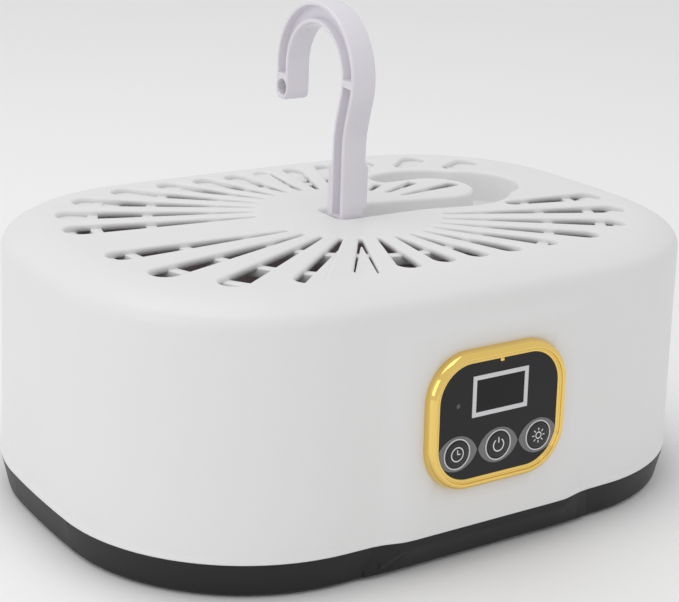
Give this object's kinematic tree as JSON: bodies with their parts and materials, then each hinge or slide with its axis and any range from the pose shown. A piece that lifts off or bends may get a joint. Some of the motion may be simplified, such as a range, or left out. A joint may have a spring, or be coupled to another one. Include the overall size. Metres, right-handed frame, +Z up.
{
  "type": "portable clothes dryer",
  "caption": "Portable hanging clothes dryer head: vented white housing on a black tray, fold-down hook, gold-rimmed touch panel, and a fan and heater in a central duct.",
  "frame": {"origin": "on the surface the dryer stands on, under the centre of the body", "axes": "+X along the long side, the control panel faces -Y, +Z up; the hook stands upright"},
  "size_m": [0.28, 0.2126, 0.1946],
  "materials": {
    "white_plastic": "satin",
    "black_plastic": "satin",
    "hook_plastic": "gloss",
    "gold_trim": "polished gold",
    "panel_black": "gloss",
    "bright_trim": "polished",
    "silver_trim": "satin silver",
    "display_glass": "smoked",
    "led_lens": "frosted",
    "circuit_board": "solder mask",
    "dark_plastic": "satin",
    "grey_plastic": "satin",
    "motor_can": "satin",
    "steel": "zinc plated",
    "aluminium": "mill",
    "heater_frame": "matt",
    "heater_core": "oxidised",
    "ceramic": "ceramic",
    "uv_lens": "clear violet",
    "relay_blue": "satin",
    "transformer_tape": "tape",
    "capacitor_sleeve": "sleeve",
    "terminal_green": "satin",
    "lead_red": "PVC",
    "lead_yellow": "PVC",
    "rubber": "matt"
  },
  "bodies": {
    "housing": {"top_shell": "white_plastic", "base_tray": "black_plastic", "outlet_grille": "black_plastic", "hook_pivot_pin": "steel", "panel_bezel": "gold_trim", "panel_faceplate": "panel_black", "key_rings": "bright_trim", "display_frame": "silver_trim", "display_window": "display_glass", "status_led": "led_lens", "control_board": "circuit_board", "display_module": "dark_plastic", "tact_switches": "dark_plastic", "control_board_screws": "steel", "fan_duct": "grey_plastic", "fan_motor": "motor_can", "fan_screws": "steel", "heater_frame": "heater_frame", "heater_fins": "aluminium", "heater_elements": "heater_core", "thermal_cutout": "ceramic", "uv_lamp_board": "circuit_board", "uv_lamps": "uv_lens", "main_board": "circuit_board", "board_screws": "steel", "power_relay": "relay_blue", "mains_transformer": "transformer_tape", "board_capacitors": "capacitor_sleeve", "terminal_block": "terminal_green", "panel_lead": "lead_red", "motor_lead": "lead_red", "heater_lead": "lead_yellow", "housing_screws": "steel", "rubber_feet": "rubber", "cord_gland": "black_plastic", "gland_nut": "steel"},
    "hook": {"hanging_hook": "hook_plastic"},
    "timer_key": {"timer_key": "panel_black"},
    "power_key": {"power_key": "panel_black"},
    "sterilise_key": {"sterilise_key": "panel_black"},
    "fan": {"fan_impeller": "dark_plastic"}
  },
  "joints": [
    {"name": "hook_fold", "type": "hinge", "parent": "housing", "child": "hook", "pos_m": [-0.003, -0.003, 0.1048], "axis": [0, 1, 0], "range_deg": [0, 90]},
    {"name": "timer_key_travel", "type": "slide", "parent": "housing", "child": "timer_key", "axis": [0, 0.9995, -0.0332], "range_m": [0, 0.0005], "stiffness_N_per_m": 1500, "springref_m": -0.0005},
    {"name": "power_key_travel", "type": "slide", "parent": "housing", "child": "power_key", "axis": [0, 0.9995, -0.0332], "range_m": [0, 0.0005], "stiffness_N_per_m": 1500, "springref_m": -0.0005},
    {"name": "sterilise_key_travel", "type": "slide", "parent": "housing", "child": "sterilise_key", "axis": [0, 0.9995, -0.0332], "range_m": [0, 0.0005], "stiffness_N_per_m": 1500, "springref_m": -0.0005},
    {"name": "fan_spin", "type": "hinge", "parent": "housing", "child": "fan", "pos_m": [0, 0, 0.04], "axis": [0, 0, 1], "continuous": true}
  ]
}
